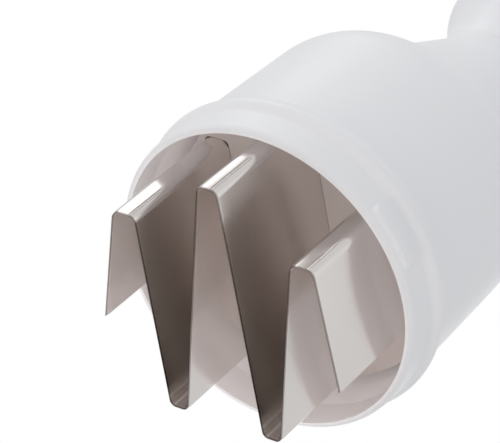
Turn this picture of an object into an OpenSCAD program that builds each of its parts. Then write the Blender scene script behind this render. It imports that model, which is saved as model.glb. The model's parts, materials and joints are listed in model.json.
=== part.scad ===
// Plunger food chopper: a zig-zag blade on a spring-loaded plunger inside an open-mouthed housing.
// It stands upright on the blade's cutting edges, pressed right down, with its axis on Z.

/* [Blade] */
// How far the cutting edges stand below the rim when the plunger is pressed
blade_drop = 21; // [17:0.5:25]
// Depth from the rim to the face that the blade is set in
carrier_depth = 20.6; // [18:0.1:24]
// Thickness of the blade strip
blade_gauge = 0.6; // [0.4:0.05:0.9]
// Height of the ground edge
edge_h = 1.2; // [0.6:0.1:2]
// Width of the flat left at the very edge
edge_land = 0.12; // [0.06:0.02:0.2]
// How deep the strip is set in its carrier
slot_depth = 3; // [2:0.1:3.2]
// Gap from the mouth's wall to the middle of an outer crest
outer_crest_gap = 6.4; // [5.6:0.1:7]
// How far round from the front the outer crests stand
outer_crest_angle = 132.2; // [130:0.1:135]
// Width of an outer crest
outer_crest_w = 6.5; // [5.6:0.1:7]
// Gap from the mouth's wall to the middle crest
middle_crest_gap = 3.3; // [3.2:0.1:6]
// Width of the middle crest
middle_crest_w = 5.6; // [5.4:0.1:6.6]
// Gap from the mouth's wall to the middle of a trough
trough_gap = 7.6; // [6.6:0.1:10]
// How far round from the front the troughs stand
trough_angle = 24.55; // [23:0.05:26]
// Width of a trough
trough_w = 5.2; // [4.6:0.1:6]
// Gap from the mouth's wall to the strip's two ends
tip_gap = 5.3; // [4.8:0.1:7]
// How far round from the front the strip's ends stand
tip_angle = 75; // [72:0.1:80]
// Radius of the strip's bends along its middle line
bend_r = 1.3; // [1.1:0.1:2.3]

/* [Housing] */
// Inner radius of the mouth at the rim
mouth_r = 42; // [41:0.1:46]
// Wall of the collar at its plain part
collar_wall = 1.9; // [1.6:0.1:2.4]
// Height of the plain part of the collar
collar_h = 9.6; // [8:0.1:12]
// How far the raised ring stands out of the collar
bead_rise = 1.6; // [0.8:0.1:2.2]
// Height of the raised ring
bead_h = 8; // [6:0.1:9.5]
// Wall of the body just above the raised ring
body_low_wall = 1.4; // [1.2:0.1:1.8]
// How much the body narrows up to its shoulder
body_taper = 1; // [0:0.1:1.4]
// Wall of the body
wall = 2.2; // [1.6:0.1:2.4]
// Radius of the rounded shoulder
shoulder_r = 17.2; // [15.5:0.1:19]
// How far round the shoulder goes before the neck begins
shoulder_sweep = 60.3; // [54:0.1:64]
// Radius of the hollow between shoulder and neck
neck_root_r = 7; // [5:0.1:9]
// Radius of the curve at the top of the neck
neck_curve_r = 20.6; // [14:0.1:26]
// Wall of the neck at its top
neck_wall = 1.4; // [1.2:0.1:2]
// Number of cap lugs on the collar
lug_count = 2; // [2:1:4]
// Length of a cap lug round the collar
lug_l = 17.5; // [10:0.5:22]
// Width of a cap lug
lug_w = 3; // [2:0.1:3.4]
// How far a cap lug stands out of the collar
lug_rise = 0.9; // [0.6:0.1:1.4]
// Direction of the first lug's middle
lug_turn = 329; // [0:1:359]

/* [Plunger] */
// Travel of the plunger
stroke = 34; // [26:0.5:40]
// Inner radius of the plunger's tube
sleeve_ir = 12.7; // [12.6:0.1:13.2]
// Wall of the plunger's tube
sleeve_wall = 1.8; // [1.4:0.1:2.2]
// Height of the guide keys on the tube
key_h = 10.7; // [6:0.1:14]
// Width of a guide key
key_w = 4; // [2.5:0.1:5]
// Number of guide keys
key_count = 3; // [2:1:4]
// Height of the tube's top flange
flange_h = 2.5; // [2:0.1:3.5]
// Number of handle screws
handle_screw_count = 3; // [2:1:4]

/* [Handle] */
// Height from the neck to the handle's widest line
handle_flare_h = 24.7; // [22:0.1:30]
// Radius of the hollow curve below the handle
handle_curve_r = 29; // [26:0.5:34]
// Radius of the handle's edge below its widest line
handle_edge_r = 10.8; // [9:0.1:13]
// Radius of the handle's edge above its widest line
cap_edge_r = 9; // [7:0.1:11]
// Radius of the handle's crown
crown_r = 24; // [20:0.5:40]
// Wall of the handle
handle_wall = 2; // [1.6:0.1:2.4]

/* [Turning gear] */
// How far the blade turns in one stroke
turn_per_stroke = 45; // [30:1:50]
// Side of the spindle's twisted square
square_w = 7; // [6:0.1:7.2]
// Radius of the spindle's round part
spindle_r = 3.3; // [2.8:0.1:3.4]
// Number of teeth on the ratchet wheel
tooth_count = 8; // [8:4:8]
// Height of the ratchet wheel
ratchet_h = 5.8; // [4:0.1:7]
// Wire of the return spring
wire_d = 1.3; // [1:0.1:1.4]
// Number of turns of the return spring
spring_turns = 12; // [8:1:14]

/* [Hidden] */
$fn = 96;

// Overrun of every cut, and the clearances
over = 0.5;
slide_gap = 0.1;
fit_gap = 0.05;
free_gap = 0.3;
seat_gap = 0.1;
turn_gap = 0.06;

// Heights of the blade head, from the cutting edge up
rim_z = blade_drop;
carrier_z = rim_z + carrier_depth;
carrier_t = 4;
carrier_top_z = carrier_z + carrier_t;
clamp_t = 1.2;
clamp_top_z = carrier_top_z + clamp_t;
hub_rise = 0.7;
hub_top_z = clamp_top_z + hub_rise;
carrier_gap = 2.5;
carrier_r = mouth_r - carrier_gap;
clamp_r = 30;
hub_r = 8;

// Heights of the mechanism, which the raised blade head just clears
head_gap = 0.5;
plate_t = 2.5;
plate_z = hub_top_z + stroke + head_gap;
plate_top_z = plate_z + plate_t;
box_h = ratchet_h + 2 * seat_gap;
box_top_z = plate_top_z + box_h;
core_flange_h = 2;
core_flange_z = box_top_z + core_flange_h;
sleeve_rise = 1;
sleeve_z = plate_top_z + sleeve_rise;
key_rise = 0.5;
key_z = sleeve_z + key_rise;
key_end_h = 3.5;
neck_top_z = key_z + key_h + stroke + free_gap + key_end_h;
guide_rise = 1.5;
guide_z = box_top_z + guide_rise;

// Radii of the sliding tube, its bush and its guide
sleeve_r = sleeve_ir + sleeve_wall;
bush_ir = sleeve_r + slide_gap;
bush_wall = 1.4;
bore_r = bush_ir + bush_wall;
bush_r = bore_r - fit_gap;
key_skin = 0.35;
key_r = bush_r - key_skin;
key_gap = 0.2;
guide_wall = 2;
guide_r = bore_r + guide_wall;
neck_r = bore_r + neck_wall;

// Outer line of the collar
lip_h = 2;
lip_w = 0.5;
lip_steps = 6;
collar_r = mouth_r + collar_wall;
bead_z = rim_z + collar_h;
bead_rise_h = 2.8;
bead_crest_z = bead_z + bead_rise_h;
bead_top_z = bead_z + bead_h;
bead_r = collar_r + bead_rise;
bead_skin = 0.15;
bead_steps = 6;
lug_up = 3.7;
lug_z = rim_z + lug_up;

// Outer and inner line of the shell: a taper, the shoulder, the neck's root, a cone and the neck's curve
socket_z = rim_z + collar_h;
shoulder_drop = 5;
shoulder_z = plate_z - shoulder_drop;
body_low_r = mouth_r + body_low_wall;
body_top_r = body_low_r - body_taper;
shoulder_cx = body_top_r - shoulder_r;
root_cx = shoulder_cx + (shoulder_r + neck_root_r) * cos(shoulder_sweep);
root_cz = shoulder_z + (shoulder_r + neck_root_r) * sin(shoulder_sweep);
curve_cx = neck_r + neck_curve_r;
curve_cz = neck_top_z;
centres_l = norm([curve_cx - root_cx, curve_cz - root_cz]);
centres_turn = atan2(curve_cz - root_cz, curve_cx - root_cx);
cone_out = centres_turn - acos((neck_curve_r - neck_root_r) / centres_l);
cone_turn = cone_out + 90;
cone_side = cone_out + 180;
arc_steps = 10;
arc_share = [for (i = [0:arc_steps]) i / arc_steps];

function arc(cx, cz, r, from, to) =
    [for (s = arc_share) [cx + r * cos(from + (to - from) * s), cz + r * sin(from + (to - from) * s)]];
function flip(points) = [for (i = [len(points) - 1:-1:0]) points[i]];
function toward(a) = [cos(a), sin(a)];
function swell(s) = (1 - cos(180 * s)) / 2;
function on_cone(offset_r) = [root_cx, root_cz] + (neck_root_r + offset_r) * toward(cone_side);
function cone_z_at(r, offset_r) =
    on_cone(offset_r)[1] + (r - on_cone(offset_r)[0]) * tan(cone_turn);

// Boss columns that the mechanism plate is screwed to
boss_count = 3;
boss_r = 3.2;
boss_in_share = 0.2;
boss_skin = 0.4;
boss_orbit = root_cx - neck_root_r - boss_in_share * boss_r;
boss_top_z = root_cz - sqrt(pow(neck_root_r, 2) - pow(root_cx - boss_orbit - boss_r, 2)) - boss_skin;
boss_turn = 30;
plate_r = shoulder_cx + sqrt(pow(shoulder_r - wall, 2) - pow(plate_top_z - shoulder_z, 2)) - 2 * free_gap;

// Small screws
screw_r = 1;
screw_hole_r = screw_r + fit_gap;
screw_head_r = 1.9;
screw_head_h = 1.3;
screw_slot_w = 0.5;
screw_slot_h = 0.5;
plate_screw_l = 6;
handle_screw_l = 5;
carrier_screw_l = 2.7;

// Ratchet box on the plate
box_gap = 0.5;
box_r = sleeve_ir - box_gap;
box_wall = 0.8;
box_ir = box_r - box_wall;
square_half_diag = square_w / sqrt(2);
square_gap = 0.25;
spindle_gap = 0.35;
spindle_hole_r = square_half_diag + spindle_gap;
ratchet_wall = 2.45;
tooth_tip_r = square_half_diag + ratchet_wall;
tooth_h = 1.2;
tooth_root_r = tooth_tip_r - tooth_h;
gear_z = plate_top_z + seat_gap;

// Pawls, as they lie beside the tooth whose straight face looks along minus Y
pin_r = 0.8;
pin_in = 0.28;
pin_x = tooth_tip_r - pin_in;
pin_y = -5.98;
pin_hole_r = pin_r + turn_gap;
pin_sink = 1.5;
pawl_boss_r = 1.6;
pawl_h = ratchet_h - 2 * seat_gap;
pawl_z = gear_z + seat_gap;
nose_gap = 0.12;
nose_in = 0.9;
nose_in_x = tooth_tip_r - nose_in;
nose_out = 0.6;
nose_out_x = tooth_tip_r + nose_out;
pawl_root_up = 0.98;
pawl_root_y = pin_y + pawl_root_up;
pawl_root_in = 0.32;
pawl_root_in_x = pin_x - pawl_root_in;
pawl_root_out = 1.26;
pawl_root_out_x = pin_x + pawl_root_out;
leaf_t = 0.3;
leaf_l = 4.1;
leaf_lean = 22.6;
leaf_out = 1.85;
leaf_x = pin_x + leaf_out;
leaf_up = 1.4;
leaf_y = pin_y + leaf_up;
leaf_post_r = 0.7;
leaf_post_x = leaf_x + leaf_l * sin(leaf_lean);
leaf_post_y = leaf_y + leaf_l * cos(leaf_lean);

// Guide core, spring and its seat
core_ir = spindle_hole_r;
core_r = 8.5;
core_h = 35.5;
seat_h = 0.8;
spring_z = core_flange_z + seat_h;
flange_rise = 15.5;
flange_z = neck_top_z + flange_rise;
spring_gap = 0.75;
spring_r = sleeve_ir - spring_gap - wire_d / 2;
spring_top_gap = 0.2;
spring_top_z = flange_z - spring_top_gap;
ring_points = 6;
rings_per_turn = 8;
coil_gap = 0.5;
end_pitch = wire_d + coil_gap;

// Handle: lower lip, hollow curve, edge, then the cap's edge and crown
lip_gap = 0.3;
handle_z = neck_top_z + lip_gap;
buffer_h = 1.5;
buffer_gap = 0.2;
buffer_z = neck_top_z + buffer_gap;
buffer_top_z = buffer_z + buffer_h;
handle_ir = sleeve_r + free_gap;
buffer_w = 1.8;
buffer_r = handle_ir + buffer_w;
handle_proud = 0.05;
handle_low_r = neck_r + handle_proud;
handle_edge_z = neck_top_z + handle_flare_h;
handle_curve_rise = 1.5;
handle_curve_z = neck_top_z + handle_curve_rise;
flare_h = handle_edge_z - handle_curve_z;
flare_turn = asin(flare_h / (handle_curve_r + handle_edge_r));
handle_max_r = handle_low_r + (handle_curve_r + handle_edge_r) * (1 - cos(flare_turn));
cap_edge_sweep = 60;
cap_edge_cx = handle_max_r - cap_edge_r;
crown_cx = cap_edge_cx - (crown_r - cap_edge_r) * cos(cap_edge_sweep);
crown_cz = handle_edge_z - (crown_r - cap_edge_r) * sin(cap_edge_sweep);
knob_top_z = crown_cz + crown_r;
spigot_inset = 2.4;
spigot_r = handle_max_r - spigot_inset;
spigot_h = 4;
spigot_wall = 1.6;
flange_w = 4;
flange_r = sleeve_r + flange_w;
flange_room = 1;
handle_screw_orbit = sleeve_r + screw_head_r;

// Spindle, whose square starts just above the hub and turns as it rises
twist_rate = turn_per_stroke / stroke;
foot_deep = 1.4;
foot_z = carrier_top_z - foot_deep;
foot_step = 0.2;
foot_w = square_w - foot_step;
twist_low_rise = 2.5;
twist_z = hub_top_z + twist_low_rise;
twist_top_rise = 3.5;
twist_top_z = box_top_z + twist_top_rise;
spindle_collar_r = 6;
washer_t = 0.6;
washer_r = 7;
spindle_collar_top_z = flange_z - washer_t;
spindle_collar_h = 2.4;
top_washer_h = 0.8;
clip_z = flange_z + flange_h + top_washer_h;
clip_h = 0.8;
clip_r = 5.5;
clip_groove_deep = 0.6;
clip_groove_r = spindle_r - clip_groove_deep;
clip_mouth = 4;
spindle_end = 1.4;
spindle_top_z = clip_z + clip_h + spindle_end;
flange_hole_r = spindle_r + turn_gap;
twist_steps = 22;
square_sides = 4;
centre_head_r = 3.2;
centre_head_h = 1.4;
centre_shank_r = 1.3;
centre_shank_l = 9;
centre_recess_h = 1.6;

// Places in the mouth of the blade's crests, troughs and ends, on its right half
function in_mouth(gap, turn) = (mouth_r - gap) * [sin(turn), cos(turn)];
middle_crest = in_mouth(middle_crest_gap, 180);
outer_crest = in_mouth(outer_crest_gap, outer_crest_angle);
trough = in_mouth(trough_gap, trough_angle);
tip = in_mouth(tip_gap, tip_angle);

// Places of the carrier screws, between the blade's legs
crest_screw_share = 0.6;
trough_screw_share = 0.64;
side_screw_share = 0.6;
carrier_screw_places = [
    [0, crest_screw_share * middle_crest[1]],
    [0, trough_screw_share * trough[1]],
    [-trough[0], -side_screw_share * tip[1]],
    [trough[0], -side_screw_share * tip[1]]
];

// Blade path, from one tip to the other
blade_path = [
    [-tip[0], tip[1]],
    [-outer_crest[0] - outer_crest_w / 2, outer_crest[1]],
    [-outer_crest[0] + outer_crest_w / 2, outer_crest[1]],
    [-trough[0] - trough_w / 2, trough[1]],
    [-trough[0] + trough_w / 2, trough[1]],
    [-middle_crest_w / 2, middle_crest[1]],
    [middle_crest_w / 2, middle_crest[1]],
    [trough[0] - trough_w / 2, trough[1]],
    [trough[0] + trough_w / 2, trough[1]],
    [outer_crest[0] - outer_crest_w / 2, outer_crest[1]],
    [outer_crest[0] + outer_crest_w / 2, outer_crest[1]],
    tip
];
last_leg = len(blade_path) - 2;
bend_steps = 12;

function heading(i) = let (leg = blade_path[i + 1] - blade_path[i]) atan2(leg[1], leg[0]);
function turned(a) = a - 360 * round(a / 360);
function turn_at(i) = turned(heading(i) - heading(i - 1));
function cut_back(i) = bend_r * tan(abs(turn_at(i)) / 2);
function bend_side(i) = turn_at(i) > 0 ? 90 : -90;
function bend_middle(i) = blade_path[i] - cut_back(i) * toward(heading(i - 1))
    + bend_r * toward(heading(i - 1) + bend_side(i));

// Stops along the blade's middle line, each with its place and the direction that the strip runs in there
blade_stops = concat(
    [[blade_path[0], heading(0)]],
    [for (i = [1:last_leg]) for (s = [0:bend_steps])
        let (a = heading(i - 1) + turn_at(i) * s / bend_steps)
        [bend_middle(i) - bend_r * toward(a + bend_side(i)), a]],
    [[blade_path[last_leg + 1], heading(last_leg)]]
);
function beside(stop, d) = stop[0] + d * toward(stop[1] + 90);

// The slot's outline: the strip seen along the axis, a little wider and longer
module blade_outline(gap) {
    half = blade_gauge / 2 + gap;
    first = blade_stops[0];
    last = blade_stops[len(blade_stops) - 1];
    stops = concat(
        [[first[0] - gap * toward(first[1]), first[1]]],
        [for (i = [1:len(blade_stops) - 2]) blade_stops[i]],
        [[last[0] + gap * toward(last[1]), last[1]]]
    );
    left = [for (stop = stops) beside(stop, half)];
    right = [for (stop = stops) beside(stop, -half)];
    polygon(concat(left, flip(right)));
}

module tube(r_out, r_in, h) {
    difference() {
        cylinder(r = r_out, h = h);
        translate([0, 0, -over])
            cylinder(r = r_in, h = h + 2 * over);
    }
}

// A cheese-head screw that points down from the underside of its head, with a slot across it
module screw(length, head_r, head_h, shank_r) {
    difference() {
        cylinder(r = head_r, h = head_h);
        translate([-head_r - over, -screw_slot_w / 2, head_h - screw_slot_h])
            cube([2 * (head_r + over), screw_slot_w, screw_slot_h + over]);
    }
    translate([0, 0, -length])
        cylinder(r = shank_r, h = length);
}

module around(count, orbit, first) {
    for (i = [0:count - 1])
        rotate([0, 0, first + i * 360 / count])
            translate([orbit, 0, 0])
                children();
}

// A square bar that turns at the helix rate between two heights
module twisted_square(side, low_z, high_z) {
    translate([0, 0, low_z])
        rotate([0, 0, twist_rate * (low_z - gear_z)])
            linear_extrude(
                high_z - low_z,
                twist = -twist_rate * (high_z - low_z),
                slices = twist_steps,
                segments = square_sides
            )
                square(side, center = true);
}

module housing_shell() {
    cavity_z = cone_z_at(guide_r, wall);
    outside = concat(
        [[body_low_r, socket_z]],
        [[body_low_r, bead_top_z]],
        arc(shoulder_cx, shoulder_z, shoulder_r, 0, shoulder_sweep),
        arc(root_cx, root_cz, neck_root_r, shoulder_sweep + 180, cone_side),
        arc(curve_cx, curve_cz, neck_curve_r, cone_side, 180)
    );
    inside = concat(
        [[bore_r, neck_top_z]],
        [[bore_r, guide_z]],
        [[guide_r, guide_z]],
        [[guide_r, cavity_z]],
        arc(root_cx, root_cz, neck_root_r + wall, cone_side, shoulder_sweep + 180),
        arc(shoulder_cx, shoulder_z, shoulder_r - wall, shoulder_sweep, 0),
        [[mouth_r, socket_z]]
    );
    color("whitesmoke") {
        rotate_extrude()
            polygon(concat(outside, inside));
        around(boss_count, boss_orbit, boss_turn)
            translate([0, 0, plate_top_z])
                tube(boss_r, screw_hole_r, boss_top_z - plate_top_z);
    }
}

module collar_ring() {
    lip = [for (s = [0:lip_steps]) let (a = 90 * s / lip_steps)
        [mouth_r + lip_w + (collar_wall - lip_w) * sin(a), rim_z + lip_h * (1 - cos(a))]];
    bead_end_r = body_low_r + fit_gap + bead_skin;
    bead_low = [for (i = [0:bead_steps]) let (s = i / bead_steps)
        [collar_r + (bead_r - collar_r) * swell(s), bead_z + (bead_crest_z - bead_z) * s]];
    bead_high = [for (i = [1:bead_steps]) let (s = i / bead_steps)
        [bead_r + (bead_end_r - bead_r) * swell(s), bead_crest_z + (bead_top_z - bead_crest_z) * s]];
    section = concat(
        [[mouth_r, rim_z]],
        lip,
        bead_low,
        bead_high,
        [[body_low_r + fit_gap, bead_top_z], [body_low_r + fit_gap, socket_z], [mouth_r, socket_z]]
    );
    lug_end_y = (lug_l - lug_w) / 2;
    lug_x = mouth_r + collar_wall / 4;
    lug_outline = concat(arc(lug_end_y, 0, lug_w / 2, -90, 90), arc(-lug_end_y, 0, lug_w / 2, 90, 270));
    color("whitesmoke") {
        rotate_extrude()
            polygon(section);
        for (i = [0:lug_count - 1])
            rotate([0, 0, lug_turn + i * 360 / lug_count])
                intersection() {
                    translate([lug_x, 0, lug_z])
                        rotate([90, 0, 90])
                            linear_extrude(collar_wall + lug_rise)
                                polygon(lug_outline);
                    cylinder(r = collar_r + lug_rise, h = bead_top_z);
                }
    }
}

module neck_bush() {
    bush_h = neck_top_z - guide_z;
    slot_top_z = neck_top_z - key_end_h;
    color("gainsboro")
        translate([0, 0, guide_z])
            difference() {
                tube(bush_r, bush_ir, bush_h);
                for (i = [0:key_count - 1])
                    rotate([0, 0, i * 360 / key_count])
                        translate([bush_ir / 2, -key_w / 2 - key_gap, -over])
                            cube([bore_r, key_w + 2 * key_gap, slot_top_z - guide_z + over]);
            }
}

module mechanism_plate() {
    color("lightgray")
        difference() {
            union() {
                translate([0, 0, plate_z])
                    cylinder(r = plate_r, h = plate_t);
                translate([0, 0, plate_top_z])
                    tube(box_r, box_ir, box_h);
                for (turn = [0, 180])
                    rotate([0, 0, turn])
                        translate([leaf_post_x, leaf_post_y, plate_top_z])
                            cylinder(r = leaf_post_r, h = pawl_h);
            }
            translate([0, 0, plate_z - over])
                cylinder(r = spindle_hole_r, h = plate_t + 2 * over);
            around(boss_count, boss_orbit, boss_turn)
                translate([0, 0, plate_z - over]) {
                    cylinder(r = screw_hole_r, h = plate_t + 2 * over);
                    cylinder(r = screw_head_r + seat_gap, h = screw_head_h + over);
                }
            for (turn = [0, 180])
                rotate([0, 0, turn]) {
                    translate([pin_x, pin_y, plate_top_z - pin_sink])
                        cylinder(r = pin_r + fit_gap, h = pin_sink + over);
                    leaf(leaf_t + 2 * fit_gap, pawl_z, pawl_h + over);
                }
        }
}

module plate_screws() {
    color("silver")
        around(boss_count, boss_orbit, boss_turn)
            translate([0, 0, plate_z + screw_head_h])
                rotate([180, 0, 0])
                    screw(plate_t - screw_head_h + plate_screw_l, screw_head_r, screw_head_h, screw_r);
}

module ratchet_wheel() {
    tooth = 360 / tooth_count;
    outline = [for (i = [0:tooth_count - 1]) for (r = [tooth_root_r, tooth_tip_r]) r * toward(i * tooth)];
    color("ivory")
        difference() {
            translate([0, 0, gear_z])
                linear_extrude(ratchet_h)
                    polygon(outline);
            twisted_square(square_w + 2 * square_gap, gear_z - over, gear_z + ratchet_h + over);
        }
}

module pawl_pins() {
    color("silver")
        for (turn = [0, 180])
            rotate([0, 0, turn])
                translate([pin_x, pin_y, plate_top_z - pin_sink])
                    cylinder(r = pin_r, h = pin_sink + box_h);
}

// One leaf spring: it starts beside the pawl's boss and ends in its post
module leaf(thick, z, h) {
    translate([leaf_x, leaf_y, z])
        rotate([0, 0, -leaf_lean])
            translate([-thick / 2, 0, 0])
                cube([thick, leaf_l, h]);
}

module pawl_springs() {
    color("silver")
        for (turn = [0, 180])
            rotate([0, 0, turn])
                leaf(leaf_t, pawl_z, pawl_h - seat_gap);
}

module pawl() {
    color("ivory")
        translate([0, 0, pawl_z])
            difference() {
                union() {
                    translate([pin_x, pin_y, 0])
                        cylinder(r = pawl_boss_r, h = pawl_h);
                    linear_extrude(pawl_h)
                        polygon([
                            [pin_x, pin_y],
                            [pawl_root_out_x, pawl_root_y],
                            [nose_out_x, -nose_gap],
                            [nose_in_x, -nose_gap],
                            [pawl_root_in_x, pawl_root_y]
                        ]);
                }
                translate([pin_x, pin_y, -over])
                    cylinder(r = pin_hole_r, h = pawl_h + 2 * over);
            }
}

module pawl_a() {
    pawl();
}

module pawl_b() {
    rotate([0, 0, 180])
        pawl();
}

module guide_core() {
    color("gainsboro")
        translate([0, 0, box_top_z])
            difference() {
                union() {
                    cylinder(r = box_r, h = core_flange_h);
                    cylinder(r = core_r, h = core_flange_h + core_h);
                }
                translate([0, 0, -over])
                    cylinder(r = core_ir, h = core_flange_h + core_h + 2 * over);
            }
}

module spring_seat() {
    color("silver")
        translate([0, 0, core_flange_z])
            tube(box_r, core_r + slide_gap, seat_h);
}

// The spring's centre line rises slowly over its first and last turn and evenly between them
function coil_rise(t) = let (
        low = spring_z + wire_d / 2,
        high = spring_top_z - wire_d / 2,
        pitch = (high - low - 2 * end_pitch) / (spring_turns - 2))
    t < 1 ? low + end_pitch * t :
    t > spring_turns - 1 ? high - end_pitch * (spring_turns - t) :
    low + end_pitch + pitch * (t - 1);
function coil_ring(t, i) = let (a = 360 * i / ring_points, r = spring_r + wire_d / 2 * cos(a))
    [r * cos(360 * t), r * sin(360 * t), coil_rise(t) + wire_d / 2 * sin(a)];

module return_spring() {
    rings = spring_turns * rings_per_turn;
    points = [for (k = [0:rings]) for (i = [0:ring_points - 1]) coil_ring(k / rings_per_turn, i)];
    sides = [for (k = [0:rings - 1]) for (i = [0:ring_points - 1])
        let (a = k * ring_points + i, b = k * ring_points + (i + 1) % ring_points)
        each [[a, a + ring_points, b], [b, a + ring_points, b + ring_points]]];
    end = rings * ring_points;
    first = [for (i = [1:ring_points - 2]) [0, i, i + 1]];
    last = [for (i = [1:ring_points - 2]) [end, end + i + 1, end + i]];
    gaps = [for (k = [0:rings - rings_per_turn])
        coil_rise(k / rings_per_turn + 1) - coil_rise(k / rings_per_turn) - wire_d];
    echo(least_spring_gap = min(gaps));
    color("silver")
        polyhedron(points = points, faces = concat(sides, first, last));
}

module plunger_sleeve() {
    color("silver")
        difference() {
            union() {
                translate([0, 0, sleeve_z])
                    cylinder(r = sleeve_r, h = flange_z - sleeve_z);
                translate([0, 0, flange_z])
                    cylinder(r = flange_r, h = flange_h);
                for (i = [0:key_count - 1])
                    rotate([0, 0, i * 360 / key_count])
                        translate([sleeve_ir + sleeve_wall / 2, -key_w / 2, key_z])
                            cube([key_r - sleeve_ir - sleeve_wall / 2, key_w, key_h]);
            }
            translate([0, 0, sleeve_z - over])
                cylinder(r = sleeve_ir, h = flange_z - sleeve_z + over);
            translate([0, 0, flange_z - over])
                cylinder(r = flange_hole_r, h = flange_h + 2 * over);
            around(handle_screw_count, handle_screw_orbit, boss_turn)
                translate([0, 0, flange_z - over])
                    cylinder(r = screw_hole_r, h = flange_h + 2 * over);
        }
}

module handle_shell() {
    inner_z = handle_edge_z - spigot_h;
    outside = concat(
        [[handle_low_r, handle_z]],
        arc(handle_low_r + handle_curve_r, handle_curve_z, handle_curve_r, 180, 180 - flare_turn),
        arc(handle_max_r - handle_edge_r, handle_edge_z, handle_edge_r, -flare_turn, 0)
    );
    inside = [
        [spigot_r, handle_edge_z],
        [spigot_r, inner_z],
        [flange_r + flange_room, flange_z],
        [handle_ir, flange_z],
        [handle_ir, buffer_top_z],
        [buffer_r, buffer_top_z],
        [buffer_r, handle_z]
    ];
    color("whitesmoke")
        difference() {
            rotate_extrude()
                polygon(concat(outside, inside));
            around(handle_screw_count, handle_screw_orbit, boss_turn)
                translate([0, 0, flange_z - handle_screw_l - over])
                    cylinder(r = screw_hole_r, h = handle_screw_l + 2 * over);
        }
}

module handle_cap() {
    wall_r = spigot_r - fit_gap;
    outside = concat(
        arc(cap_edge_cx, handle_edge_z, cap_edge_r, 0, cap_edge_sweep),
        arc(crown_cx, crown_cz, crown_r, cap_edge_sweep, 90)
    );
    inside = concat(
        [[0, knob_top_z]],
        [[0, knob_top_z - handle_wall]],
        flip(arc(crown_cx, crown_cz, crown_r - handle_wall, cap_edge_sweep, 90)),
        flip(arc(cap_edge_cx, handle_edge_z, cap_edge_r - handle_wall, 0, cap_edge_sweep)),
        [
            [wall_r - spigot_wall, handle_edge_z],
            [wall_r - spigot_wall, handle_edge_z - spigot_h + seat_gap],
            [wall_r, handle_edge_z - spigot_h + seat_gap],
            [wall_r, handle_edge_z]
        ]
    );
    color("whitesmoke")
        rotate_extrude()
            polygon(concat(outside, inside));
}

module handle_screws() {
    color("silver")
        around(handle_screw_count, handle_screw_orbit, boss_turn)
            translate([0, 0, flange_z + flange_h])
                screw(flange_h + handle_screw_l, screw_head_r, screw_head_h, screw_r);
}

module buffer_ring() {
    color("dimgray")
        translate([0, 0, buffer_z])
            tube(buffer_r - fit_gap, handle_ir, buffer_h);
}

module top_washer() {
    color("silver")
        translate([0, 0, flange_z + flange_h])
            tube(washer_r, flange_hole_r, top_washer_h);
}

module blade() {
    half = blade_gauge / 2;
    top_z = carrier_z + slot_depth;
    section = [
        [-edge_land / 2, 0],
        [edge_land / 2, 0],
        [half, edge_h],
        [half, top_z],
        [-half, top_z],
        [-half, edge_h]
    ];
    n = len(section);
    count = len(blade_stops);
    points = [for (stop = blade_stops) for (p = section)
        let (at = beside(stop, p[0]))
        [at[0], at[1], p[1]]];
    sides = [for (k = [0:count - 2]) for (i = [0:n - 1])
        let (a = k * n + i, b = k * n + (i + 1) % n)
        each [[a, a + n, b], [b, a + n, b + n]]];
    end = (count - 1) * n;
    first = [for (i = [1:n - 2]) [0, i, i + 1]];
    last = [for (i = [1:n - 2]) [end, end + i + 1, end + i]];
    color("silver")
        polyhedron(points = points, faces = concat(sides, first, last));
}

module blade_carrier() {
    color("gainsboro")
        difference() {
            translate([0, 0, carrier_z])
                cylinder(r = carrier_r, h = carrier_t);
            translate([0, 0, carrier_z - over])
                linear_extrude(over + slot_depth + fit_gap)
                    blade_outline(fit_gap);
            translate([0, 0, carrier_z - over])
                cylinder(r = centre_head_r + fit_gap, h = centre_recess_h + over);
            translate([0, 0, carrier_z])
                cylinder(r = centre_shank_r + fit_gap, h = carrier_t);
            foot_square(foot_w + 2 * fit_gap, foot_z, carrier_top_z + over);
            for (p = carrier_screw_places)
                translate([p[0], p[1], carrier_top_z - carrier_screw_l])
                    cylinder(r = screw_hole_r, h = carrier_screw_l + over);
        }
}

// The spindle's foot and the socket that drives the blade head
module foot_square(side, low_z, high_z) {
    rotate([0, 0, twist_rate * (twist_z - gear_z)])
        translate([-side / 2, -side / 2, low_z])
            cube([side, side, high_z - low_z]);
}

module clamp_plate() {
    color("gainsboro")
        difference() {
            union() {
                translate([0, 0, carrier_top_z])
                    cylinder(r = clamp_r, h = clamp_t);
                translate([0, 0, carrier_top_z])
                    cylinder(r = hub_r, h = clamp_t + hub_rise);
            }
            foot_square(foot_w + 2 * fit_gap, carrier_top_z - over, hub_top_z + over);
            for (p = carrier_screw_places)
                translate([p[0], p[1], carrier_top_z - over])
                    cylinder(r = screw_hole_r, h = clamp_t + 2 * over);
        }
}

module carrier_screws() {
    color("silver")
        for (p = carrier_screw_places)
            translate([p[0], p[1], clamp_top_z])
                screw(clamp_t + carrier_screw_l - seat_gap, screw_head_r, hub_rise, screw_r);
}

module spindle() {
    color("silver")
        difference() {
            union() {
                foot_square(foot_w, foot_z, twist_z);
                twisted_square(square_w, twist_z, twist_top_z);
                translate([0, 0, twist_top_z])
                    cylinder(r = spindle_r, h = spindle_top_z - twist_top_z);
                translate([0, 0, spindle_collar_top_z - spindle_collar_h])
                    cylinder(r = spindle_collar_r, h = spindle_collar_h);
            }
            translate([0, 0, foot_z - over])
                cylinder(r = centre_shank_r + fit_gap, h = centre_shank_l);
            translate([0, 0, clip_z])
                tube(spindle_r + over, clip_groove_r, clip_h);
        }
}

module centre_screw() {
    color("silver")
        translate([0, 0, carrier_z + centre_recess_h])
            rotate([180, 0, 0])
                screw(centre_shank_l - over, centre_head_r, centre_head_h, centre_shank_r);
}

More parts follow.
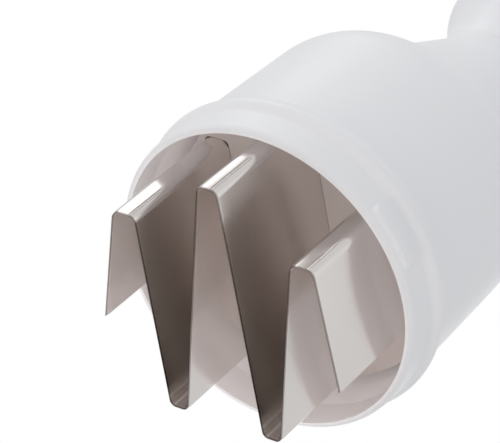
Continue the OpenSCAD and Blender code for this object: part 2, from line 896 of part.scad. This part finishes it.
module retaining_clip() {
    color("silver")
        translate([0, 0, clip_z + fit_gap])
            difference() {
                tube(clip_r, clip_groove_r + fit_gap, clip_h - 2 * fit_gap);
                translate([0, -clip_mouth / 2, -over])
                    cube([clip_r + over, clip_mouth, clip_h + 2 * over]);
            }
}

module thrust_washer() {
    color("silver")
        translate([0, 0, spindle_collar_top_z])
            tube(washer_r, flange_hole_r, washer_t);
}

housing_shell();
collar_ring();
neck_bush();
mechanism_plate();
plate_screws();
ratchet_wheel();
pawl_pins();
pawl_springs();
guide_core();
spring_seat();
return_spring();
plunger_sleeve();
handle_shell();
handle_cap();
handle_screws();
buffer_ring();
top_washer();
blade();
blade_carrier();
clamp_plate();
carrier_screws();
spindle();
centre_screw();
retaining_clip();
thrust_washer();
pawl_a();
pawl_b();
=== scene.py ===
import json
from math import cos, sin, tan, acos, asin, atan2, hypot, radians, degrees, pi
import bpy
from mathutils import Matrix, Quaternion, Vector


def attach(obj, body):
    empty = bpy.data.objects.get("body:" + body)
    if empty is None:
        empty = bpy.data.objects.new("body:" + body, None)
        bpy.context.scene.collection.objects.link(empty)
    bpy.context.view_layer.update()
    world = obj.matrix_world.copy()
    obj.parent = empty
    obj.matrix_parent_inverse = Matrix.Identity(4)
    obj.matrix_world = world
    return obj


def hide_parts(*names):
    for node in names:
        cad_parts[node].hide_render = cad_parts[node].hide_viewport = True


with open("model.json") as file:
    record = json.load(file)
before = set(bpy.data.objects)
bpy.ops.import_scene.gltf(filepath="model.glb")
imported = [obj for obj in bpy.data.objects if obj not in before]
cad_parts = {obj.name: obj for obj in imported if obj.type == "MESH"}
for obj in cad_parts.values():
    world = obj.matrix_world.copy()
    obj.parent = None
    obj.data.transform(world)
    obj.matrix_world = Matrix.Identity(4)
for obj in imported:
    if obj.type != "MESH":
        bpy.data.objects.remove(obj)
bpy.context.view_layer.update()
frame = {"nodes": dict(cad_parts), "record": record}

# The housing, the knob and the blade of the food chopper get a finer skin here. All other pieces
# keep the part's solids. Pieces are measured in mm, and camera, lamps and cards in metres.

mm = 0.001
fullTurn = 2 * pi
tinyStep = 0.001 * mm        # welding distance
softSegments = 2             # faces across a softened edge
print("frame loaded")


# Selection and edit mode, done the same way before every modelling step

def dropSelection():
    if bpy.context.object and bpy.context.object.mode != "OBJECT":
        bpy.ops.object.mode_set(mode="OBJECT")
    bpy.ops.object.select_all(action="DESELECT")


def pickOnly(piece):
    dropSelection()
    piece.select_set(True)
    bpy.context.view_layer.objects.active = piece


def takeNew(name):
    piece = bpy.context.object
    piece.name = name
    piece.data.name = name
    return piece


def applyPlace(piece):
    pickOnly(piece)
    bpy.ops.object.transform_apply(location=True, rotation=True, scale=True)


def addModifier(piece, kind, **settings):
    pickOnly(piece)
    modifier = piece.modifiers.new(kind.title(), kind)
    for key, value in settings.items():
        setattr(modifier, key, value)
    bpy.ops.object.modifier_apply(modifier=modifier.name)


def smoothPiece(piece, angle):
    pickOnly(piece)
    bpy.ops.object.shade_smooth_by_angle(angle=radians(angle))


# Edges sharper than the angle are softened, and the rest is shaded smooth

def softenPiece(piece, width, angle):
    addModifier(piece, "BEVEL", width=width * mm, segments=softSegments, limit_method="ANGLE",
                angle_limit=radians(angle))
    smoothPiece(piece, angle)


def faceOutwards(piece):
    pickOnly(piece)
    bpy.ops.object.mode_set(mode="EDIT")
    bpy.ops.mesh.select_all(action="SELECT")
    bpy.ops.mesh.normals_make_consistent(inside=False)
    bpy.ops.object.mode_set(mode="OBJECT")


def arcPoints(centre, radius, start, end, steps):
    turns = [radians(start + (end - start) * i / steps) for i in range(steps + 1)]
    return [(centre[0] + radius * cos(t), centre[1] + radius * sin(t)) for t in turns]


# A line drawn point by point: one vertex, extruded from stop to stop

def drawLine(name, points):
    dropSelection()
    bpy.ops.mesh.primitive_plane_add(size=mm, location=(0, 0, 0))
    piece = takeNew(name)
    bpy.ops.object.mode_set(mode="EDIT")
    bpy.ops.mesh.select_mode(type="VERT")
    bpy.ops.mesh.select_all(action="SELECT")
    bpy.ops.mesh.merge(type="CENTER")
    bpy.ops.transform.translate(value=points[0])
    for last, here in zip(points, points[1:]):
        step = Vector(here) - Vector(last)
        bpy.ops.mesh.extrude_region_move(TRANSFORM_OT_translate={"value": step})
    bpy.ops.object.mode_set(mode="OBJECT")
    return piece


# A turned piece: its outline drawn in the XZ plane and spun round Z

def turnOutline(name, outline, closed, steps):
    points = [(r * mm, 0, z * mm) for r, z in outline]
    if closed:
        points.append(points[0])
    piece = drawLine(name, points)
    pickOnly(piece)
    bpy.ops.object.mode_set(mode="EDIT")
    bpy.ops.mesh.select_all(action="SELECT")
    bpy.ops.mesh.remove_doubles(threshold=tinyStep)
    bpy.ops.mesh.spin(steps=steps, angle=fullTurn, center=(0, 0, 0), axis=(0, 0, 1))
    bpy.ops.mesh.select_all(action="SELECT")
    bpy.ops.mesh.remove_doubles(threshold=tinyStep)
    bpy.ops.object.mode_set(mode="OBJECT")
    faceOutwards(piece)
    return piece


# Materials. Each is a small tree on object coordinates: an even colour with a slow drift in it,
# a roughness that wanders a little, and a fine relief.

noiseDetail = {"slow": 3.0, "grain": 2.0, "lines": 4.0}
driftSpan = (0.3, 0.7)        # the noise values between which the colour drifts
plasticIor = 1.5


def newMaterial(name):
    material = bpy.data.materials.new(name)
    material.use_nodes = True
    return material, material.node_tree.nodes["Principled BSDF"]


def objectPlace(tree):
    return tree.nodes.new("ShaderNodeTexCoord").outputs["Object"]


def stretched(tree, place, scale):
    mapping = tree.nodes.new("ShaderNodeMapping")
    mapping.inputs["Scale"].default_value = scale
    tree.links.new(place, mapping.inputs["Vector"])
    return mapping.outputs["Vector"]


def addNoise(tree, place, scale, detail):
    noise = tree.nodes.new("ShaderNodeTexNoise")
    noise.inputs["Scale"].default_value = scale
    noise.inputs["Detail"].default_value = noiseDetail[detail]
    tree.links.new(place, noise.inputs["Vector"])
    return noise.outputs["Fac"]


def tinted(colour, share):
    return (*(min(1.0, c * share) for c in colour), 1)


def driftingColour(tree, place, look):
    ramp = tree.nodes.new("ShaderNodeValToRGB")
    low, high = ramp.color_ramp.elements
    low.position, high.position = driftSpan
    low.color = tinted(look["colour"], 1 - look["drift"])
    high.color = tinted(look["colour"], 1 + look["drift"])
    tree.links.new(addNoise(tree, place, look["driftScale"], "slow"), ramp.inputs["Fac"])
    return ramp.outputs["Color"]


def setRoughness(tree, shader, noise, look):
    span = tree.nodes.new("ShaderNodeMapRange")
    span.inputs["To Min"].default_value = look["rough"][0]
    span.inputs["To Max"].default_value = look["rough"][1]
    tree.links.new(noise, span.inputs["Value"])
    tree.links.new(span.outputs["Result"], shader.inputs["Roughness"])


def setRelief(tree, shader, noise, look):
    bump = tree.nodes.new("ShaderNodeBump")
    bump.inputs["Strength"].default_value = look["grain"]
    bump.inputs["Distance"].default_value = look["grainDepth"]
    tree.links.new(noise, bump.inputs["Height"])
    tree.links.new(bump.outputs["Normal"], shader.inputs["Normal"])


def plasticMaterial(name, look):
    material, shader = newMaterial(name)
    tree = material.node_tree
    place = objectPlace(tree)
    tree.links.new(driftingColour(tree, place, look), shader.inputs["Base Color"])
    setRoughness(tree, shader, addNoise(tree, place, look["wanderScale"], "slow"), look)
    setRelief(tree, shader, addNoise(tree, place, look["grainScale"], "grain"), look)
    shader.inputs["IOR"].default_value = plasticIor
    return material


# A thin, darker line painted along the foot of the blade: painted shade and a painted dark reflection on
# the strip's ground edge

def edgeShadeColour(tree, place, flatColour, look):
    height = tree.nodes.new("ShaderNodeSeparateXYZ")
    tree.links.new(place, height.inputs["Vector"])
    edgeShadeMask = tree.nodes.new("ShaderNodeMapRange")
    edgeShadeMask.inputs["From Min"].default_value = look["edgeShadeTop"]
    edgeShadeMask.inputs["From Max"].default_value = look["edgeShadeTop"] - look["edgeShadeFade"]
    tree.links.new(height.outputs["Z"], edgeShadeMask.inputs["Value"])
    mix = tree.nodes.new("ShaderNodeMix")
    mix.data_type = "RGBA"
    tree.links.new(edgeShadeMask.outputs["Result"], mix.inputs["Factor"])
    tree.links.new(flatColour, mix.inputs["A"])
    mix.inputs["B"].default_value = (*look["edgeShadeColour"], 1)
    return mix.outputs["Result"]


# Steel has one noise, stretched to fine lines, for both its roughness and its relief

def steelMaterial(name, look):
    material, shader = newMaterial(name)
    tree = material.node_tree
    place = objectPlace(tree)
    colour = driftingColour(tree, place, look)
    # The blade gets a painted shade line along its foot
    if "edgeShadeTop" in look:
        colour = edgeShadeColour(tree, place, colour, look)
    tree.links.new(colour, shader.inputs["Base Color"])
    lines = addNoise(tree, stretched(tree, place, look["stretch"]), look["lineScale"], "lines")
    setRoughness(tree, shader, lines, look)
    setRelief(tree, shader, lines, look)
    shader.inputs["Metallic"].default_value = 1.0
    return material


whiteLook = {
    "colour": (0.905, 0.908, 0.922), "drift": 0.006, "driftScale": 14.0,
    "rough": (0.34, 0.42), "wanderScale": 60.0,
    "grain": 0.05, "grainScale": 900.0, "grainDepth": 0.02 * mm,
}
plasticLooks = {
    "white_shell": whiteLook,
    "white_collar": whiteLook,
    "white_handle": whiteLook,
    # The carrier's light plastic is darkened and warmed here: painted shade for where it sits deep
    # inside the mouth
    "carrier_plastic": {**whiteLook, "colour": (0.57, 0.525, 0.505), "rough": (0.3, 0.4)},
    "sleeve_plastic": {**whiteLook, "colour": (0.66, 0.67, 0.69), "rough": (0.2, 0.3)},
    "guide_plastic": {**whiteLook, "colour": (0.62, 0.62, 0.60), "rough": (0.45, 0.6)},
    "inner_plastic": {**whiteLook, "colour": (0.70, 0.70, 0.69), "rough": (0.4, 0.55)},
    "gear_plastic": {**whiteLook, "colour": (0.76, 0.72, 0.60), "rough": (0.4, 0.55)},
    "buffer_rubber": {
        "colour": (0.03, 0.03, 0.03), "drift": 0.2, "driftScale": 300.0,
        "rough": (0.6, 0.8), "wanderScale": 200.0,
        "grain": 0.3, "grainScale": 1500.0, "grainDepth": 0.05 * mm,
    },
}
steelLook = {
    "colour": (0.60, 0.60, 0.60), "drift": 0.03, "driftScale": 80.0,
    "stretch": (1.0, 1.0, 12.0), "lineScale": 400.0,
    "rough": (0.2, 0.34), "grain": 0.08, "grainDepth": 0.01 * mm,
}
steelLooks = {
    "screw_steel": {**steelLook, "stretch": (1.0, 1.0, 1.0)},
    "spring_steel": {**steelLook, "colour": (0.45, 0.45, 0.46), "stretch": (3.0, 3.0, 1.0)},
    "spindle_steel": {**steelLook, "stretch": (8.0, 8.0, 1.0)},
    "blade_steel": {
        "colour": (0.81, 0.783, 0.762), "drift": 0.015, "driftScale": 30.0,
        "stretch": (0.25, 0.25, 6.0), "lineScale": 500.0,
        "rough": (0.19, 0.235), "grain": 0.01, "grainDepth": 0.004 * mm,
        # painted shade and dark reflection: below this height the foot's colour turns darker
        "edgeShadeTop": 0.5 * mm, "edgeShadeFade": 0.05 * mm, "edgeShadeColour": (0.40, 0.36, 0.34),
    },
}
materials = {slot: plasticMaterial(slot, look) for slot, look in plasticLooks.items()}
materials.update({slot: steelMaterial(slot, look) for slot, look in steelLooks.items()})


def finishWith(piece, slot):
    piece.data.materials.clear()
    piece.data.materials.append(materials[slot])


for subpart in frame["record"]["subparts"]:
    finishWith(frame["nodes"][subpart["node"]], subpart["material_slot"])
print("materials ready")


# A new piece takes the place of a node and moves with the node's body

def standFor(piece, node, body, slot):
    finishWith(piece, slot)
    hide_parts(node)
    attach(piece, body)


# Housing shell: taper, rounded shoulder, hollow, cone and the curve at the neck's top

shell = {
    "lowZ": 30.6, "lowRadius": 43.4, "beadTopZ": 38.6, "topRadius": 42.4, "mouthRadius": 42.0,
    "shoulderZ": 77.0, "shoulderRadius": 17.2, "shoulderSweep": 60.3, "rootRadius": 7.0,
    "neckZ": 134.5, "neckRadius": 17.4, "curveRadius": 20.6, "wall": 2.2,
    "boreRadius": 16.0, "guideZ": 92.0, "guideRadius": 18.0,
    "arcSteps": 20, "turnSteps": 160, "softEdge": 0.04, "smoothAngle": 28,
}


def shellOutline(s):
    shoulder = (s["topRadius"] - s["shoulderRadius"], s["shoulderZ"])
    reach = s["shoulderRadius"] + s["rootRadius"]
    sweep = radians(s["shoulderSweep"])
    root = (shoulder[0] + reach * cos(sweep), shoulder[1] + reach * sin(sweep))
    # The cone is the line that touches the hollow's arc and the arc at the neck's top
    curve = (s["neckRadius"] + s["curveRadius"], s["neckZ"])
    span = hypot(curve[0] - root[0], curve[1] - root[1])
    lean = acos((s["curveRadius"] - s["rootRadius"]) / span)
    coneOut = atan2(curve[1] - root[1], curve[0] - root[0]) - lean
    coneSide = degrees(coneOut) + 180
    # Inside, the wall follows the cone up to where the guide's bore starts
    inRoot = s["rootRadius"] + s["wall"]
    onCone = (root[0] - inRoot * cos(coneOut), root[1] - inRoot * sin(coneOut))
    cavityZ = onCone[1] + (s["guideRadius"] - onCone[0]) * tan(coneOut + pi / 2)
    steps = s["arcSteps"]
    outside = [(s["lowRadius"], s["lowZ"]), (s["lowRadius"], s["beadTopZ"])]
    outside += arcPoints(shoulder, s["shoulderRadius"], 0, s["shoulderSweep"], steps)
    outside += arcPoints(root, s["rootRadius"], s["shoulderSweep"] + 180, coneSide, steps)
    outside += arcPoints(curve, s["curveRadius"], coneSide, 180, steps)
    inside = [(s["boreRadius"], s["neckZ"]), (s["boreRadius"], s["guideZ"]),
              (s["guideRadius"], s["guideZ"]), (s["guideRadius"], cavityZ)]
    inside += arcPoints(root, inRoot, coneSide, s["shoulderSweep"] + 180, steps)
    inside += arcPoints(shoulder, s["shoulderRadius"] - s["wall"], s["shoulderSweep"], 0, steps)
    inside += [(s["mouthRadius"], s["lowZ"])]
    return outside + inside


housingSkin = turnOutline("housing_skin", shellOutline(shell), True, shell["turnSteps"])
softenPiece(housingSkin, shell["softEdge"], shell["smoothAngle"])
standFor(housingSkin, "housing_shell", "housing", "white_shell")
print("housing shell turned")


# Collar: thin rounded lip, plain band and the raised ring, with the cap lugs on the band

collar = {
    "rimZ": 21.0, "mouthRadius": shell["mouthRadius"], "shellRadius": shell["lowRadius"],
    "wall": 1.9, "height": 9.6, "lipWidth": 0.5, "lipHeight": 2.0, "lipSteps": 10,
    "bandTop": 1.0, "beadRise": 1.6, "beadCrest": 2.8, "beadTop": 8.0, "beadSteps": 24,
    "skin": 0.003,        # keeps the collar's faces out of the shell's where the two lie flush
    "lugTurn": 329, "lugCount": 2, "lugLength": 17.5, "lugWidth": 3.4, "lugRise": 1.1, "lugZ": 3.7,
    "lugSoft": 0.5, "lugDepth": 0.8, "lugSink": 0.02, "lugAlongSteps": 120, "lugUpSteps": 40,
    "turnSteps": 160, "smoothAngle": 30,
}


def collarOutline(c):
    band = c["mouthRadius"] + c["wall"]
    lipReach = c["wall"] - c["lipWidth"]
    lipTurns = [pi / 2 * i / c["lipSteps"] for i in range(c["lipSteps"] + 1)]
    lip = [(c["mouthRadius"] + c["lipWidth"] + lipReach * sin(t),
            c["rimZ"] + c["lipHeight"] * (1 - cos(t))) for t in lipTurns]
    # The ring swells out of the band to its crest and falls more slowly to the shell
    top = c["rimZ"] + c["height"]
    low, crest, high = top - c["bandTop"], top + c["beadCrest"], top + c["beadTop"]
    peak = band + c["beadRise"]
    drop = peak - (c["shellRadius"] - c["skin"])
    count = c["beadSteps"]
    swell = [(1 - cos(pi * i / count)) / 2 for i in range(count + 1)]
    rise = [(band + c["beadRise"] * s, low + (crest - low) * i / count) for i, s in enumerate(swell)]
    fall = [(peak - drop * s, crest + (high - crest) * i / count) for i, s in enumerate(swell)]
    inner = c["mouthRadius"] - c["skin"]
    return [(inner, c["rimZ"])] + lip + rise + fall[1:] + [(inner, high)]


# A cap lug is a low swelling that leaves the band without a crease. Each point of a flat grid is
# laid on the band and raised by how far within the lug's soft outline it lies.

def capLug(c, turn):
    band = c["mouthRadius"] + c["wall"]
    foot = 2 * c["lugSoft"]
    straight = (c["lugLength"] - c["lugWidth"]) / 2
    dropSelection()
    bpy.ops.mesh.primitive_grid_add(x_subdivisions=c["lugAlongSteps"], y_subdivisions=c["lugUpSteps"],
                                    size=1)
    lug = takeNew("cap_lug")
    for vertex in lug.data.vertices:
        along = vertex.co.x * (c["lugLength"] + foot)
        up = vertex.co.y * (c["lugWidth"] + foot)
        outwards = hypot(max(0, abs(along) - straight), up)
        share = min(1, max(0, (c["lugSoft"] + c["lugWidth"] / 2 - outwards) / foot))
        swell = (1 - cos(pi * share)) / 2
        radius = band - c["lugSink"] + (c["lugRise"] + c["lugSink"]) * swell
        angle = radians(turn) + along / band
        height = c["rimZ"] + c["lugZ"] + up
        vertex.co = (radius * cos(angle) * mm, radius * sin(angle) * mm, height * mm)
    addModifier(lug, "SOLIDIFY", thickness=c["lugDepth"] * mm, offset=-1)
    return lug


collarSkin = turnOutline("collar_skin", collarOutline(collar), True, collar["turnSteps"])
for i in range(collar["lugCount"]):
    lug = capLug(collar, collar["lugTurn"] + i * 360 / collar["lugCount"])
    addModifier(collarSkin, "BOOLEAN", operation="UNION", object=lug, solver="MANIFOLD")
    bpy.data.objects.remove(lug)
smoothPiece(collarSkin, collar["smoothAngle"])
standFor(collarSkin, "collar_ring", "housing", "white_collar")
print("collar turned, lugs on")


# Handle: the flared lower part, and the crowned cap let into it

handle = {
    "lowZ": 134.56, "lowRadius": 17.42, "neckZ": shell["neckZ"],
    "flareHeight": 24.7, "curveRadius": 29.0, "curveRise": 1.5, "edgeRadius": 10.8,
    "capEdge": 9.0, "capSweep": 60, "crown": 24.0, "wall": 2.0,
    "bore": 14.8, "bufferRadius": 16.6, "bufferTopZ": 136.2, "ledgeZ": 150.0, "ledgeRadius": 19.5,
    "spigotDrop": 2.4, "spigotHeight": 4.0, "spigotWall": 1.6, "gap": 0.05, "topGap": 0.1,
    "arcSteps": 20, "turnSteps": 160, "softEdge": 0.03, "smoothAngle": 30,
}


# The flare's arc and the arc of the edge above it meet without a kink

def addFlareSizes(h):
    h["edgeZ"] = h["neckZ"] + h["flareHeight"]
    h["curveZ"] = h["neckZ"] + h["curveRise"]
    reach = h["curveRadius"] + h["edgeRadius"]
    flare = asin((h["edgeZ"] - h["curveZ"]) / reach)
    h["flareSweep"] = degrees(flare)
    h["widest"] = h["lowRadius"] + reach * (1 - cos(flare))


def handleOutline(h):
    curve = (h["lowRadius"] + h["curveRadius"], h["curveZ"])
    edge = (h["widest"] - h["edgeRadius"], h["edgeZ"])
    spigot = h["widest"] - h["spigotDrop"]
    outside = [(h["lowRadius"], h["lowZ"])]
    outside += arcPoints(curve, h["curveRadius"], 180, 180 - h["flareSweep"], h["arcSteps"])
    outside += arcPoints(edge, h["edgeRadius"], -h["flareSweep"], 0, h["arcSteps"])
    inside = [(spigot, h["edgeZ"]), (spigot, h["edgeZ"] - h["spigotHeight"]),
              (h["ledgeRadius"], h["ledgeZ"]), (h["bore"], h["ledgeZ"]), (h["bore"], h["bufferTopZ"]),
              (h["bufferRadius"], h["bufferTopZ"]), (h["bufferRadius"], h["lowZ"])]
    return outside + inside


def capOutline(h):
    edge = (h["widest"] - h["capEdge"], h["edgeZ"])
    sweep = radians(h["capSweep"])
    reach = h["crown"] - h["capEdge"]
    crown = (edge[0] - reach * cos(sweep), edge[1] - reach * sin(sweep))
    steps = h["arcSteps"]
    spigotOut = h["widest"] - h["spigotDrop"] - h["gap"]
    spigotIn = spigotOut - h["spigotWall"]
    spigotZ = h["edgeZ"] - h["spigotHeight"] + h["topGap"]
    outside = [(0, crown[1] + h["crown"])]
    outside += arcPoints(crown, h["crown"], 90, h["capSweep"], steps)
    outside += arcPoints(edge, h["capEdge"], h["capSweep"], 0, steps)
    inside = [(spigotOut, h["edgeZ"]), (spigotOut, spigotZ), (spigotIn, spigotZ), (spigotIn, h["edgeZ"])]
    inside += arcPoints(edge, h["capEdge"] - h["wall"], 0, h["capSweep"], steps)
    inside += arcPoints(crown, h["crown"] - h["wall"], h["capSweep"], 90, steps)
    inside += [(0, crown[1] + h["crown"] - h["wall"])]
    return outside + inside


addFlareSizes(handle)
handleSkin = turnOutline("handle_skin", handleOutline(handle), True, handle["turnSteps"])
capSkin = turnOutline("handle_cap_skin", capOutline(handle), False, handle["turnSteps"])
for piece, node in ((handleSkin, "handle_shell"), (capSkin, "handle_cap")):
    softenPiece(piece, handle["softEdge"], handle["smoothAngle"])
    standFor(piece, node, "plunger", "white_handle")
print("handle turned")


# Blade: a zig-zag line with its corners rounded, drawn up to a strip and given its thickness.
# Each flat crest or trough stands a gap inside the mouth's wall, at an angle round from the front.

blade = {
    "mouthRadius": shell["mouthRadius"],
    "middleCrest": (3.3, 180, 5.6), "outerCrest": (6.4, 132.2, 6.5),        # gap, angle, width
    "trough": (7.6, 24.55, 5.2), "tip": (5.3, 75, 0),
    "crestCut": 2.0, "troughCut": 1.5, "bendSteps": 16, "weld": 0.01,
    "gauge": 0.6, "topZ": 44.6, "edgeHeight": 1.2, "edgeLand": 0.12, "smoothAngle": 22,
}


def bladeLine(b):
    right = []
    for gap, angle, width in (b["middleCrest"], b["trough"], b["outerCrest"], b["tip"]):
        x = (b["mouthRadius"] - gap) * sin(radians(angle))
        y = (b["mouthRadius"] - gap) * cos(radians(angle))
        right += [(x - width / 2, y), (x + width / 2, y)]
    right = right[1:-1]        # the middle crest's left corner is mirrored, and the tip is one point
    left = [(-x, y) for x, y in reversed(right)]
    return [(x * mm, y * mm, 0) for x, y in left + right]


# The crests' corners lie at the back (side -1), the troughs' at the front (side 1), and the strip's
# two ends, with one edge each, stay sharp

def roundBends(strip, side, cut, steps):
    pickOnly(strip)
    linked = [0] * len(strip.data.vertices)
    for edge in strip.data.edges:
        for i in edge.vertices:
            linked[i] += 1
    for vertex in strip.data.vertices:
        vertex.select = linked[vertex.index] == 2 and vertex.co.y * side > 0
    bpy.ops.object.mode_set(mode="EDIT")
    bpy.ops.mesh.select_mode(type="VERT")
    bpy.ops.mesh.bevel(offset=cut * mm, segments=steps, affect="VERTICES")
    bpy.ops.mesh.select_all(action="DESELECT")
    bpy.ops.object.mode_set(mode="OBJECT")


def drawUp(strip, b):
    pickOnly(strip)
    bpy.ops.object.mode_set(mode="EDIT")
    bpy.ops.mesh.select_all(action="SELECT")
    bpy.ops.mesh.remove_doubles(threshold=b["weld"] * mm)
    for rise in (b["edgeHeight"], b["topZ"] - b["edgeHeight"]):
        bpy.ops.mesh.extrude_region_move(TRANSFORM_OT_translate={"value": (0, 0, rise * mm)})
    bpy.ops.object.mode_set(mode="OBJECT")
    faceOutwards(strip)


# The strip has its full gauge but for the foot, which is ground down to a narrow land

def thicken(strip, b):
    fullWidth = strip.vertex_groups.new(name="full_width")
    for vertex in strip.data.vertices:
        onEdge = vertex.co.z < tinyStep
        fullWidth.add([vertex.index], b["edgeLand"] / b["gauge"] if onEdge else 1.0, "REPLACE")
    addModifier(strip, "SOLIDIFY", thickness=b["gauge"] * mm, offset=0, vertex_group=fullWidth.name,
                use_even_offset=True)
    faceOutwards(strip)


bladeStrip = drawLine("blade_strip", bladeLine(blade))
roundBends(bladeStrip, -1, blade["crestCut"], blade["bendSteps"])
roundBends(bladeStrip, 1, blade["troughCut"], blade["bendSteps"])
drawUp(bladeStrip, blade)
thicken(bladeStrip, blade)
smoothPiece(bladeStrip, blade["smoothAngle"])
standFor(bladeStrip, "blade", "blade_head", "blade_steel")
print("blade bent and ground")


# The other nodes keep their shape and are shaded smooth where they are round

keptSmoothAngle = 30
for item in frame["nodes"].values():
    if not item.hide_render:
        smoothPiece(item, keptSmoothAngle)


# Camera, below the open mouth and a little in front, rolled so that the neck runs up to the right

camera = {
    "place": (0.34465, -0.38489, -0.45968), "aim": (-0.00999, -0.00944, 0.03101),
    "roll": 49.76, "lens": 200.0, "sensor": 36.0, "nearest": 0.01, "farthest": 20.0,
}


def placeCamera(c):
    data = bpy.data.cameras.new("camera")
    data.lens = c["lens"]
    data.sensor_width = c["sensor"]
    data.sensor_fit = "HORIZONTAL"
    data.clip_start = c["nearest"]
    data.clip_end = c["farthest"]
    view = bpy.data.objects.new("camera", data)
    bpy.context.scene.collection.objects.link(view)
    view.location = c["place"]
    look = (Vector(c["aim"]) - Vector(c["place"])).to_track_quat("-Z", "Y")
    view.rotation_mode = "QUATERNION"
    view.rotation_quaternion = look @ Quaternion((0, 0, 1), radians(c["roll"]))
    bpy.context.scene.camera = view


placeCamera(camera)


# Studio: a pale floor that only shows from above, soft lamps, and a white surround

studio = {
    "aim": (0, 0, 0.06),
    "lamps": (        # name, place, size, power, colour, whether the steel mirrors it
        ("key", (-0.50, -0.75, 0.65), 0.9, 2.6, (1, 1, 1), True),
        ("side", (0.95, -0.10, 0.25), 0.9, 0.3, (1, 1, 1), True),
        ("front", (0.15, -0.45, -0.75), 0.8, 0.4, (1, 1, 1), True),
        ("back", (-0.50, 0.90, 0.60), 1.0, 1.6, (1, 1, 1), True),
        ("mouth", (0.05, -0.12, -0.90), 0.3, 1.5, (1.0, 0.90, 0.85), False),
    ),
    "wallLight": {
        "place": (-0.002, 0.010, -0.004), "size": 0.01, "power": 0.029, "colour": (1.0, 0.885, 0.86),
    },
    "cards": (        # name, place, size, colour
        ("dark_card", (0, -0.58, 0.60), (0.09, 0.5), (0.02, 0.018, 0.016)),
        ("beige_card", (-0.204, -0.486, 0.497), (0.264, 0.5), (0.31, 0.27, 0.25)),
    ),
    "floorSize": 4.0, "floorColour": (0.86, 0.86, 0.86), "floorRough": 0.9,
    "white": (1.0, 1.0, 1.0), "whiteStrength": 1.0,
    "ambient": (0.97, 0.98, 1.0), "ambientStrength": 0.65,
    "mirrored": (1.0, 0.99, 0.995), "mirroredStrength": 0.71,
    "bounces": {"max_bounces": 16, "diffuse_bounces": 8, "glossy_bounces": 12},
}


def turnTo(item, place, aim):
    item.location = place
    item.rotation_mode = "QUATERNION"
    item.rotation_quaternion = (Vector(aim) - Vector(place)).to_track_quat("-Z", "Y")


def addLamp(name, place, size, power, colour, mirrored, aim):
    data = bpy.data.lights.new(name, "AREA")
    data.shape = "SQUARE"
    data.size = size
    data.energy = power
    data.color = colour
    lamp = bpy.data.objects.new(name, data)
    bpy.context.scene.collection.objects.link(lamp)
    turnTo(lamp, place, aim)
    lamp.visible_glossy = mirrored


# A faint light within the mouth: what daylight the thin white walls let through

def addWallLight(w):
    data = bpy.data.lights.new("wall_light", "POINT")
    data.energy = w["power"]
    data.color = w["colour"]
    data.shadow_soft_size = w["size"]
    data.use_shadow = False
    lamp = bpy.data.objects.new("wall_light", data)
    bpy.context.scene.collection.objects.link(lamp)
    lamp.location = w["place"]
    lamp.visible_glossy = False
    lamp.visible_camera = False


def mixShaders(tree, share, first, second):
    mix = tree.nodes.new("ShaderNodeMixShader")
    tree.links.new(share, mix.inputs["Fac"])
    tree.links.new(first, mix.inputs[1])
    tree.links.new(second, mix.inputs[2])
    return mix.outputs["Shader"]


# The floor lies just under the blade's tips and is clear from below

def addFloor(s):
    dropSelection()
    bpy.ops.mesh.primitive_plane_add(size=s["floorSize"], location=(0, 0, -tinyStep))
    floor = takeNew("floor")
    applyPlace(floor)
    material, shader = newMaterial("floor_paper")
    shader.inputs["Base Color"].default_value = (*s["floorColour"], 1)
    shader.inputs["Roughness"].default_value = s["floorRough"]
    tree = material.node_tree
    clear = tree.nodes.new("ShaderNodeBsdfTransparent").outputs["BSDF"]
    fromBelow = tree.nodes.new("ShaderNodeNewGeometry").outputs["Backfacing"]
    paper = mixShaders(tree, fromBelow, shader.outputs["BSDF"], clear)
    tree.links.new(paper, tree.nodes["Material Output"].inputs["Surface"])
    floor.data.materials.append(material)
    floor.visible_shadow = False


# A card that only the steel sees

def addCard(name, place, size, colour, aim):
    dropSelection()
    bpy.ops.mesh.primitive_plane_add(size=1, location=place)
    card = takeNew(name)
    card.scale = (*size, 1)
    turnTo(card, place, aim)
    applyPlace(card)
    material, shader = newMaterial(name)
    shader.inputs["Base Color"].default_value = (0, 0, 0, 1)
    shader.inputs["Roughness"].default_value = 1.0
    shader.inputs["Emission Color"].default_value = (*colour, 1)
    shader.inputs["Emission Strength"].default_value = 1.0
    card.data.materials.append(material)
    card.visible_camera = False
    card.visible_diffuse = False
    card.visible_shadow = False


def addBackground(tree, colour, strength):
    background = tree.nodes.new("ShaderNodeBackground")
    background.inputs["Color"].default_value = (*colour, 1)
    background.inputs["Strength"].default_value = strength
    return background.outputs["Background"]


# The surround is plain white to the camera, a little dimmer in the steel, and dimmer still as light

def setSurround(s):
    world = bpy.data.worlds.new("surround")
    bpy.context.scene.world = world
    world.use_nodes = True
    tree = world.node_tree
    tree.nodes.clear()
    rays = tree.nodes.new("ShaderNodeLightPath")
    lit = addBackground(tree, s["ambient"], s["ambientStrength"])
    mirrored = addBackground(tree, s["mirrored"], s["mirroredStrength"])
    seen = addBackground(tree, s["white"], s["whiteStrength"])
    straight = tree.nodes.new("ShaderNodeMath")
    straight.operation = "MAXIMUM"
    tree.links.new(rays.outputs["Is Camera Ray"], straight.inputs[0])
    tree.links.new(rays.outputs["Is Transmission Ray"], straight.inputs[1])
    bounced = mixShaders(tree, rays.outputs["Is Glossy Ray"], lit, mirrored)
    surround = mixShaders(tree, straight.outputs["Value"], bounced, seen)
    out = tree.nodes.new("ShaderNodeOutputWorld")
    tree.links.new(surround, out.inputs["Surface"])


for lamp in studio["lamps"]:
    addLamp(*lamp, studio["aim"])
addWallLight(studio["wallLight"])
addFloor(studio)
for card in studio["cards"]:
    addCard(*card, studio["aim"])
setSurround(studio)
bpy.context.scene.view_settings.view_transform = "Standard"
for kind, count in studio["bounces"].items():        # light goes deep between the legs of the blade
    setattr(bpy.context.scene.cycles, kind, count)
print("studio lit")

dropSelection()
